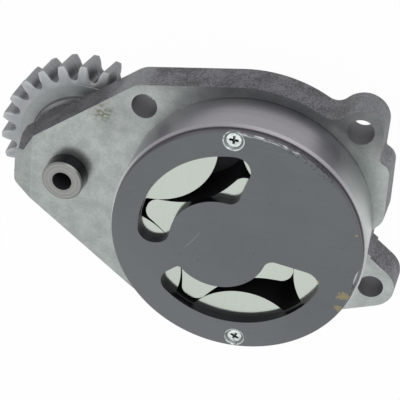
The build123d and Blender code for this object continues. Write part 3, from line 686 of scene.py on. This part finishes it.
@dataclass(frozen=True)
class IdlerPin:
    """Hardened pin, ground and near-black on its side and faced bright at its end."""

    face: str = "#949592"
    ring: str = "#7B7C7B"
    side: str = "#1F1E22"
    bore: str = "#5E5E62"
    pitch: float = 0.45
    ring_depth: float = 0.02
    hollow: Patch = Patch(IDLER_AXIS, 3.55, 3.7)

    def build(self) -> bpy.types.Material:
        """Dark polished side, warm grey end with tool rings, black oil bore.

        Returns:
            The material.
        """
        p = Paint("hardened_steel_ground_pin")
        rings = p.turned(IDLER_AXIS, self.pitch)
        face = p.add(Step.RAMP, p.add(Step.SIZE, p.facing()), 0.5, 0.8)
        colour = p.add(Step.BLEND, p.add(Step.RAMP, rings, 0.3, 0.7), self.ring, self.face)
        colour = p.add(Step.BLEND, face, self.side, colour)
        inside = p.patch(self.hollow)
        colour = p.add(Step.BLEND, inside, colour, self.bore)
        rough = p.add(Step.RAMP, face, 0.0, 1.0, 0.2, 0.34)
        rough = p.add(Step.PLUS, rough, p.add(Step.TIMES, inside, 0.4))
        return p.finish(colour, 1.0, rough, p.add(Step.BUMP, rings, self.ring_depth * MM))


@dataclass(frozen=True)
class ZincPlate:
    """Bright zinc plating over a steel screw."""

    zinc: str = "#D3DAD7"
    dull: str = "#A9B0AF"
    recess: str = "#505456"
    cloud_depth: float = 0.01

    def build(self) -> bpy.types.Material:
        """Pale bluish silver with soft clouds.

        Returns:
            The material.
        """
        p = Paint("zinc_plated_steel")
        clouds = p.noise(1.4, 3.0)
        colour = p.add(Step.BLEND, p.add(Step.RAMP, clouds, 0.3, 0.65), self.dull, self.zinc)
        # Painted shade: the driver's recess below the head's top is painted darker.
        sunk = p.add(Step.RAMP, p.level(), PLATE_LEVEL - 0.8, PLATE_LEVEL - 0.95)
        colour = p.add(Step.BLEND, sunk, colour, self.recess)
        return p.finish(colour, 1.0, 0.28, p.add(Step.BUMP, clouds, self.cloud_depth * MM))


@dataclass(frozen=True)
class SpringSteel:
    """Phosphated spring steel of the circlips."""

    dark: str = "#2A2A2D"
    worn: str = "#4A4A4D"

    def build(self) -> bpy.types.Material:
        """Nearly black with a greyer bloom.

        Returns:
            The material.
        """
        p = Paint("spring_steel_phosphated")
        bloom = p.add(Step.RAMP, p.noise(1.5, 3.0), 0.3, 0.7)
        return p.finish(p.add(Step.BLEND, bloom, self.dark, self.worn), 0.8, 0.5)


@dataclass(frozen=True)
class Bronze:
    """Sintered bronze of the bushes, with fine open pores."""

    metal: str = "#A07B4A"
    pore: str = "#6B4F2C"

    def build(self) -> bpy.types.Material:
        """Warm brown metal, finely speckled.

        Returns:
            The material.
        """
        p = Paint("sintered_bronze")
        pores = p.add(Step.RAMP, p.noise(0.3, 2.0), 0.35, 0.5)
        return p.finish(p.add(Step.BLEND, pores, self.pore, self.metal), 1.0, 0.42)


def mesh_object(
    name: str, points: Sequence[Sequence[float]], faces: Sequence[Sequence[int]]
) -> bpy.types.Object:
    """Makes an object in metres from points in millimetres.

    Args:
        name: The piece's name.
        points: Corners in millimetres.
        faces: Corner numbers of each face.

    Returns:
        The linked object, at the origin.
    """
    mesh = bpy.data.meshes.new(name)
    mesh.from_pydata([[c * MM for c in point] for point in points], [], faces)
    made = bpy.data.objects.new(name, mesh)
    bpy.context.scene.collection.objects.link(made)
    return made


def tidy_mesh(
    mesh: bpy.types.Mesh, angle: float = 28.0, merge: float = 0.002, sliver: float = 0.0005
) -> None:
    """Merges doubles, turns faces outwards and keeps edges sharper than the angle crisp.

    Args:
        mesh: The mesh to tidy.
        angle: The sharpest smooth fold, in degrees.
        merge: Corners nearer than this become one, in millimetres.
        sliver: Edges shorter than this go, in millimetres.
    """
    work = bmesh.new()
    work.from_mesh(mesh)
    bmesh.ops.remove_doubles(work, verts=work.verts, dist=merge * MM)
    bmesh.ops.dissolve_degenerate(work, edges=work.edges, dist=sliver * MM)
    bmesh.ops.recalc_face_normals(work, faces=work.faces)
    work.to_mesh(mesh)
    work.free()
    mesh.shade_smooth()
    mesh.set_sharp_from_angle(angle=math.radians(angle))


def settle(made: bpy.types.Object) -> bpy.types.Object:
    """Turns an object and its modifiers into one plain mesh.

    Args:
        made: The object with live modifiers.

    Returns:
        The same object, with none.
    """
    depsgraph = bpy.context.evaluated_depsgraph_get()
    mesh = bpy.data.meshes.new_from_object(made.evaluated_get(depsgraph))
    made.modifiers.clear()
    made.data = mesh
    return made


@dataclass
class RoundSpread:
    """Geometry Nodes that set copies of a shape round an upright axis.

    Each copy is turned by its bearing times follow, by turn, and by turn_step once more than the last.
    """

    count: int
    centre: Point2
    radius: float = 0.0
    start: float = 0.0
    level: float = 0.0
    follow: float = 1.0
    turn: float = 0.0
    turn_step: float = 0.0

    def tree(self) -> bpy.types.NodeTree:
        """Builds the node group with one named input for each size.

        Returns:
            The node group.
        """
        group = bpy.data.node_groups.new("round_spread", "GeometryNodeTree")
        kinds = {
            "Shape": "Geometry", "Count": "Int", "Centre": "Vector", "Radius": "Float", "Start": "Float",
            "Follow": "Float", "Turn": "Float", "Turn Step": "Float", "Finish": "Material",
        }
        for name, kind in kinds.items():
            group.interface.new_socket(name=name, in_out="INPUT", socket_type=f"NodeSocket{kind}")
        group.interface.new_socket(name="Result", in_out="OUTPUT", socket_type="NodeSocketGeometry")
        given = add_node(group, "NodeGroupInput").outputs
        number = add_node(group, "GeometryNodeInputIndex").outputs[0]
        sums: dict[str, Socket] = {}
        # Each row is a sum: its name, its operation and the numbers, inputs or sums it works on.
        for name, operation, *values in (
            ("step", "DIVIDE", math.tau, given["Count"]),
            ("angle", "MULTIPLY_ADD", number, "step", given["Start"]),
            ("cosine", "COSINE", "angle"),
            ("sine", "SINE", "angle"),
            ("x", "MULTIPLY", given["Radius"], "cosine"),
            ("y", "MULTIPLY", given["Radius"], "sine"),
            ("swing", "MULTIPLY_ADD", number, given["Turn Step"], given["Turn"]),
            ("bearing", "MULTIPLY", number, "step"),
            ("turn", "MULTIPLY_ADD", "bearing", given["Follow"], "swing"),
        ):
            inputs = {n: sums[v] if isinstance(v, str) else v for n, v in enumerate(values)}
            sums[name] = add_node(group, "ShaderNodeMath", inputs, operation=operation).outputs[0]
        offset = add_node(group, "ShaderNodeCombineXYZ", {"X": sums["x"], "Y": sums["y"]}).outputs[0]
        ends = {0: offset, 1: given["Centre"]}
        spot = add_node(group, "ShaderNodeVectorMath", ends, operation="ADD").outputs[0]
        points = add_node(group, "GeometryNodePoints", {"Count": given["Count"], "Position": spot}).outputs[0]
        euler = add_node(group, "ShaderNodeCombineXYZ", {"Z": sums["turn"]}).outputs[0]
        rotation = add_node(group, "FunctionNodeEulerToRotation", {"Euler": euler}).outputs[0]
        placed = {"Points": points, "Instance": given["Shape"], "Rotation": rotation}
        spread = add_node(group, "GeometryNodeInstanceOnPoints", placed).outputs[0]
        real = add_node(group, "GeometryNodeRealizeInstances", {"Geometry": spread}).outputs[0]
        dressing = {"Geometry": real, "Material": given["Finish"]}
        dressed = add_node(group, "GeometryNodeSetMaterial", dressing).outputs[0]
        add_node(group, "NodeGroupOutput", {"Result": dressed})
        return group

    def apply(self, shape: bpy.types.Object, finish: bpy.types.Material) -> bpy.types.Object:
        """Replaces a shape by its ring of copies, as one plain mesh.

        Args:
            shape: One copy, made about the world origin.
            finish: The material of every copy.

        Returns:
            The same object.
        """
        group = self.tree()
        keys = {item.name: item.identifier for item in group.interface.items_tree if item.in_out == "INPUT"}
        modifier = shape.modifiers.new("round_spread", "NODES")
        modifier.node_group = group
        given = {
            "Count": self.count,
            "Centre": (self.centre[0] * MM, self.centre[1] * MM, self.level * MM),
            "Radius": self.radius * MM,
            "Start": math.radians(self.start),
            "Follow": self.follow,
            "Turn": math.radians(self.turn),
            "Turn Step": math.radians(self.turn_step),
            "Finish": finish,
        }
        for name, value in given.items():
            modifier[keys[name]] = value
        settle(shape)
        tidy_mesh(shape.data)
        return shape


def polar(radius: float, angle: float, level: float) -> Point3:
    """A point at this radius, angle in degrees and level."""
    turn = math.radians(angle)
    return (radius * math.cos(turn), radius * math.sin(turn), level)


def lathe(name: str, profile: Sequence[Point2], around: int = 64) -> bpy.types.Object:
    """Turns a closed profile about the upright axis.

    Args:
        name: The piece's name.
        profile: Radius and level of each corner, the first and last on the axis.
        around: Steps round the axis.

    Returns:
        The turned piece.
    """
    points = [polar(radius, 360 * n / around, level) for radius, level in profile for n in range(around)]
    faces = []
    for row in range(len(profile) - 1):
        for n in range(around):
            after = (n + 1) % around
            near, far = row * around, (row + 1) * around
            faces.append((near + n, near + after, far + after, far + n))
    made = mesh_object(name, points, faces)
    tidy_mesh(made.data)
    return made


@dataclass
class HelicalGear:
    """A gear with softened helical teeth, cut from one sector spread round its axis."""

    name: str
    node: str
    body: Body
    centre: Point2
    first_tooth: float
    twist: float
    bore: float
    teeth: int = 24
    module: float = 2.5
    pressure: float = 14.5
    backlash: float = 0.17
    recess: float = 16.0
    flat: float = 25.0
    land: float = 24.6
    edge: float = 0.2
    step: float = 0.1
    fillet_steps: int = 4
    face_steps: int = 5

    def flank(self, radius: float) -> float:
        """Works out half the tooth's angle, on an involute.

        Args:
            radius: Distance from the gear's axis, in millimetres.

        Returns:
            The half angle in degrees.
        """
        pitch = self.module * self.teeth / 2
        slope = math.radians(self.pressure)
        base = pitch * math.cos(slope)
        half = (math.pi * self.module / 2 - self.backlash) / (2 * pitch) + math.tan(slope) - slope
        lean = math.acos(min(1.0, base / radius))
        return math.degrees(half - (math.tan(lean) - lean))

    def outline(self, inset: float) -> list[Point2]:
        """One tooth from gullet to gullet, drawn in by the inset.

        Args:
            inset: How far the outline moves into the metal, in millimetres.

        Returns:
            Radius and angle of each corner, by rising angle.
        """
        pitch = self.module * self.teeth / 2
        low = pitch * math.cos(math.radians(self.pressure)) + 0.05
        tip = pitch + self.module
        root = pitch - 1.25 * self.module
        half_step = 180 / self.teeth
        foot = self.flank(low)
        half: list[Point2] = []
        # A quarter of an ellipse leads from the middle of the gullet up to the flank.
        for n in range(self.fillet_steps):
            share = n / self.fillet_steps
            sweep = math.pi / 2 * (1 - share)
            angle = foot + (half_step - foot) * (1 - math.cos(sweep)) if n else half_step
            radius = low - (low - root) * math.sin(sweep) - inset * 0.8
            half.append((radius, angle - math.degrees(inset / root) * share))
        for radius in (low, low + 0.9, low + 1.8, low + 2.7, tip - 0.13):
            half.append((radius - inset * 0.3, self.flank(radius) - math.degrees(inset / radius)))
        # The tooth's outer corners are rounded off.
        rounding = self.flank(tip) - math.degrees(inset / tip)
        half.append((tip - 0.03 - inset, rounding - 0.06))
        half.append((tip - inset, rounding - 0.24))
        half.append((tip - inset, rounding / 2))
        return [(r, -a) for r, a in half] + [(r, a) for r, a in reversed(half)]

    def rows(self) -> list[tuple[float, list[Point2]]]:
        """Stations of the section, from the bore round the teeth and back.

        Returns:
            Level and outline of each row.
        """
        count = len(self.outline(0.0))
        half_step = 180 / self.teeth

        def ring(radius: float) -> list[Point2]:
            """A plain arc across the sector."""
            return [(radius, half_step * (2 * n / (count - 1) - 1)) for n in range(count)]

        soft = self.edge
        chamfer = 0.3
        top = GEAR_TOP - self.step
        rounds = ((0.0, soft), (0.3 * soft, 0.3 * soft), (soft, 0.0))
        rows = [(GEAR_TOP - chamfer, ring(self.bore)), (GEAR_TOP, ring(self.bore + chamfer))]
        rows += [(GEAR_TOP, ring(self.flat)), (top, ring(self.flat + self.step))]
        rows += [(top - depth, self.outline(inset)) for depth, inset in rounds]
        # The stations between the faces let the flank follow its helix.
        for n in range(1, self.face_steps):
            fall = n / self.face_steps * (GEAR_BASE - top + 2 * soft)
            rows.append((top - soft + fall, self.outline(0.0)))
        rows += [(GEAR_BASE + depth, self.outline(inset)) for depth, inset in reversed(rounds)]
        rows += [(GEAR_BASE, ring(self.land)), (GEAR_BASE, ring(self.recess + chamfer))]
        rows += [(GEAR_BASE + chamfer, ring(self.recess)), (WEB_BASE - 0.5, ring(self.recess))]
        rows += [(WEB_BASE, ring(self.recess - 0.5)), (WEB_BASE, ring(self.bore + chamfer))]
        rows.append((WEB_BASE + chamfer, ring(self.bore)))
        return rows

    def build(self, finish: bpy.types.Material) -> bpy.types.Object:
        """Cuts the sector, spreads it and sets it on its body.

        Args:
            finish: The gear's material.

        Returns:
            The finished gear.
        """
        rows = self.rows()
        width = len(rows[0][1])
        points = []
        for level, outline in rows:
            turn = self.first_tooth + self.twist * (GEAR_TOP - level) / (GEAR_TOP - GEAR_BASE)
            points += [polar(radius, angle + turn, level) for radius, angle in outline]
        faces = []
        for row in range(len(rows)):
            near, far = row * width, (row + 1) % len(rows) * width
            faces += [(near + n, near + n + 1, far + n + 1, far + n) for n in range(width - 1)]
        made = mesh_object(self.name, points, faces)
        RoundSpread(self.teeth, self.centre).apply(made, finish)
        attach(made, self.body.value)
        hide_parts(self.node)
        return made


@dataclass
class PlateScrews:
    """Two countersunk cross-recess screws, sunk below the plate."""

    head: float = 2.5
    shank: float = 1.25
    top: float = PLATE_LEVEL - 0.66
    length: float = 11.0
    wing: float = 0.9
    span: float = 3.4
    depth: float = 1.1
    turn: float = 2.0
    turn_step: float = -23.0

    def pair(self) -> tuple[Point2, float, float]:
        """The circle that has both screws at its ends.

        Returns:
            Its centre, its radius and the first screw's angle in degrees.
        """
        (x1, y1), (x2, y2) = SCREWS
        angle = math.degrees(math.atan2(y1 - y2, x1 - x2))
        return ((x1 + x2) / 2, (y1 + y2) / 2), math.dist(*SCREWS) / 2, angle

    def recess(self) -> bpy.types.Object:
        """Makes the tapered cross that cuts the driver's recess.

        Returns:
            The cutter, from above the head down to the recess's floor.
        """
        mouth = (0.3, self.span / 2, self.wing / 2)
        floor = (-self.depth, self.span / 4, self.wing / 3)
        box = ((0, 1, 2, 3), (4, 5, 6, 7), (0, 1, 5, 4), (1, 2, 6, 5), (2, 3, 7, 6), (3, 0, 4, 7))
        points: list[Point3] = []
        faces: list[tuple[int, ...]] = []
        for turned in (False, True):
            start = len(points)
            for level, reach, half in (mouth, floor):
                for x, y in ((-reach, -half), (reach, -half), (reach, half), (-reach, half)):
                    points.append((y if turned else x, x if turned else y, level))
            faces += [tuple(start + corner for corner in face) for face in box]
        cutter = mesh_object("cross_cutter", points, faces)
        tidy_mesh(cutter.data)
        return cutter

    def build(self, finish: bpy.types.Material) -> bpy.types.Object:
        """Turns one screw, cuts its recess and sets both in the plate.

        Args:
            finish: The plating.

        Returns:
            Both screws as one piece.
        """
        neck = self.head - self.shank
        point = 0.4
        profile = [(0.0, 0.0), (self.head - 0.2, 0.0), (self.head - 0.05, -0.04), (self.head, -0.1)]
        profile += [(self.shank, -neck), (self.shank, -self.length + point)]
        profile += [(self.shank - point, -self.length), (0.0, -self.length)]
        made = lathe("plate_screws_cross_recess", profile)
        cutter = self.recess()
        cut = made.modifiers.new("recess", "BOOLEAN")
        cut.operation = "DIFFERENCE"
        cut.solver = "EXACT"
        cut.use_self = True
        cut.object = cutter
        settle(made)
        bpy.data.objects.remove(cutter)
        middle, radius, angle = self.pair()
        spread = RoundSpread(
            len(SCREWS), middle, radius, angle, self.top, follow=0.0, turn=self.turn, turn_step=self.turn_step
        )
        spread.apply(made, finish)
        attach(made, Body.HOUSING.value)
        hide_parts("plate_screw_1", "plate_screw_2")
        return made


@dataclass
class Dressing:
    """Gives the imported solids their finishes."""

    nodes: dict[str, bpy.types.Object]

    def dress(self, finish: bpy.types.Material, *names: str) -> None:
        """Puts one finish on the named solids.

        Args:
            finish: The material.
            *names: The solids' names.
        """
        for name in names:
            solid = self.nodes[name]
            solid.data.materials.clear()
            solid.data.materials.append(finish)
            log.info("dressed %s in %s", name, finish.name)


@dataclass(frozen=True)
class Lamp:
    """A square soft lamp: its place, its side in metres and its power in watts."""

    name: str
    place: Point3
    size: float
    power: float


@dataclass
class Studio:
    """White table, soft lamps and the camera."""

    eye: Point3 = (-30.4, -210.1, 318.3)
    right: Point3 = (-0.9662, -0.1252, -0.2255)
    up: Point3 = (0.2269, -0.8282, -0.5125)
    lens: float = 99.0
    sensor: float = 36.0
    clip: tuple[float, float] = (0.01, 20.0)
    table: float = GEAR_BASE
    table_half: float = 3000.0
    paper: str = "#F4F4F4"
    paper_white: float = 0.975
    sky_light: float = 0.55
    target: Point3 = (12.0, 0.0, 0.0)
    lamps: tuple[Lamp, ...] = (
        Lamp("window", (-120.0, -420.0, 420.0), 0.5, 0.9),
        Lamp("ceiling", (60.0, 120.0, 620.0), 0.7, 0.5),
    )

    def camera(self) -> None:
        """Sets the camera where the pump is seen from its port side."""
        data = bpy.data.cameras.new("camera")
        data.lens = self.lens
        data.sensor_width = self.sensor
        data.clip_start, data.clip_end = self.clip
        made = bpy.data.objects.new("camera", data)
        right = Vector(self.right).normalized()
        up = Vector(self.up).normalized()
        back = right.cross(up)
        turn = Matrix((right, up, back)).transposed().to_4x4()
        made.matrix_world = Matrix.Translation(Vector(self.eye) * MM) @ turn
        bpy.context.scene.collection.objects.link(made)
        bpy.context.scene.camera = made

    def light(self, lamp: Lamp) -> None:
        """Adds one lamp that looks at the pump.

        Args:
            lamp: The lamp.
        """
        data = bpy.data.lights.new(lamp.name, "AREA")
        data.size = lamp.size
        data.energy = lamp.power
        made = bpy.data.objects.new(lamp.name, data)
        made.location = Vector(lamp.place) * MM
        made.rotation_euler = (Vector(self.target) * MM - made.location).to_track_quat("-Z", "Y").to_euler()
        bpy.context.scene.collection.objects.link(made)

    def seen_white(self, tree: bpy.types.NodeTree, lit: Socket, white: Socket, share: float) -> Socket:
        """Shows white to the camera and to mirrors, and the lit surface to everything else.

        Args:
            tree: The tree to add to.
            lit: The lit shader.
            white: The white shader.
            share: How much of the white is shown.

        Returns:
            The mixed shader.
        """
        path = add_node(tree, "ShaderNodeLightPath").outputs
        seen = path["Is Camera Ray"]
        for operation, other in (
            ("MAXIMUM", path["Is Glossy Ray"]), ("MAXIMUM", path["Is Transmission Ray"]), ("MULTIPLY", share),
        ):
            seen = add_node(tree, "ShaderNodeMath", {0: seen, 1: other}, operation=operation).outputs[0]
        return add_node(tree, "ShaderNodeMixShader", {0: seen, 1: lit, 2: white}).outputs[0]

    def floor(self) -> None:
        """Lays a white paper table under the gears."""
        half = self.table_half
        square = ((-half, -half), (half, -half), (half, half), (-half, half))
        corners = [(x, y, self.table) for x, y in square]
        made = mesh_object("paper_table", corners, [(0, 1, 2, 3)])
        material = bpy.data.materials.new("white_paper")
        material.use_nodes = True
        tree = material.node_tree
        tree.nodes.clear()
        lit = add_node(tree, "ShaderNodeBsdfDiffuse", {"Color": linear(self.paper)}).outputs[0]
        white = add_node(tree, "ShaderNodeEmission", {"Color": linear("#FFFFFF"), "Strength": 1.0}).outputs[0]
        surface = self.seen_white(tree, lit, white, self.paper_white)
        add_node(tree, "ShaderNodeOutputMaterial", {"Surface": surface})
        made.data.materials.append(material)

    def sky(self) -> None:
        """Surrounds the table with soft even light."""
        world = bpy.data.worlds.new("soft_room")
        world.use_nodes = True
        tree = world.node_tree
        tree.nodes.clear()
        inputs = {"Color": linear("#FFFFFF"), "Strength": self.sky_light}
        lit = add_node(tree, "ShaderNodeBackground", inputs).outputs[0]
        white = add_node(tree, "ShaderNodeBackground", {**inputs, "Strength": 1.0}).outputs[0]
        add_node(tree, "ShaderNodeOutputWorld", {"Surface": self.seen_white(tree, lit, white, 1.0)})
        bpy.context.scene.world = world

    def build(self) -> None:
        """Sets up camera, table, sky and lamps."""
        bpy.context.scene.view_settings.view_transform = "Standard"
        self.camera()
        self.floor()
        self.sky()
        for lamp in self.lamps:
            self.light(lamp)


def main() -> None:
    """Builds every piece in order and reports it."""
    logging.basicConfig(level=logging.INFO, format="%(message)s")
    nodes: dict[str, bpy.types.Object] = frame["nodes"]
    dressing = Dressing(nodes)
    dressing.dress(GreyIron().build(), "pump_housing")
    dressing.dress(GroundPlate().build(), "port_plate")
    dressing.dress(SinteredRotor().build(), "outer_rotor", "inner_rotor")
    shaft = TurnedSteel("ground_shaft_steel", SHAFT_AXIS).build()
    dressing.dress(shaft, "pump_shaft", "rotor_key", "gear_key", "drive_thrust_washer")
    washer = TurnedSteel("ground_washer_steel", IDLER_AXIS, "#C4C5C5", "#ACADAE", roughness=0.34).build()
    dressing.dress(washer, "idler_thrust_washer", "idler_end_washer", "idler_plug")
    dressing.dress(IdlerPin().build(), "idler_shaft")
    dressing.dress(SpringSteel().build(), "drive_circlip", "idler_circlip")
    dressing.dress(Bronze().build(), "shaft_bush", "idler_bush")
    idler_steel = HobbedSteel("idler_gear_steel_hobbed", IDLER_AXIS).build()
    drive_steel = HobbedSteel("drive_gear_steel_hobbed", SHAFT_AXIS).build()
    gears = (
        HelicalGear("idler_gear_cut", "idler_gear", Body.IDLER, IDLER_AXIS, 5.0, -2.8, 9.53),
        HelicalGear("drive_gear_cut", "drive_gear", Body.SHAFT, SHAFT_AXIS, 2.5, 2.8, 7.0),
    )
    for gear, steel in zip(gears, (idler_steel, drive_steel)):
        dressing.dress(steel, gear.node)
        log.info("cut %s", gear.build(steel).name)
    log.info("set %s", PlateScrews().build(ZincPlate().build()).name)
    Studio().build()


if __name__ == "__main__":
    main()
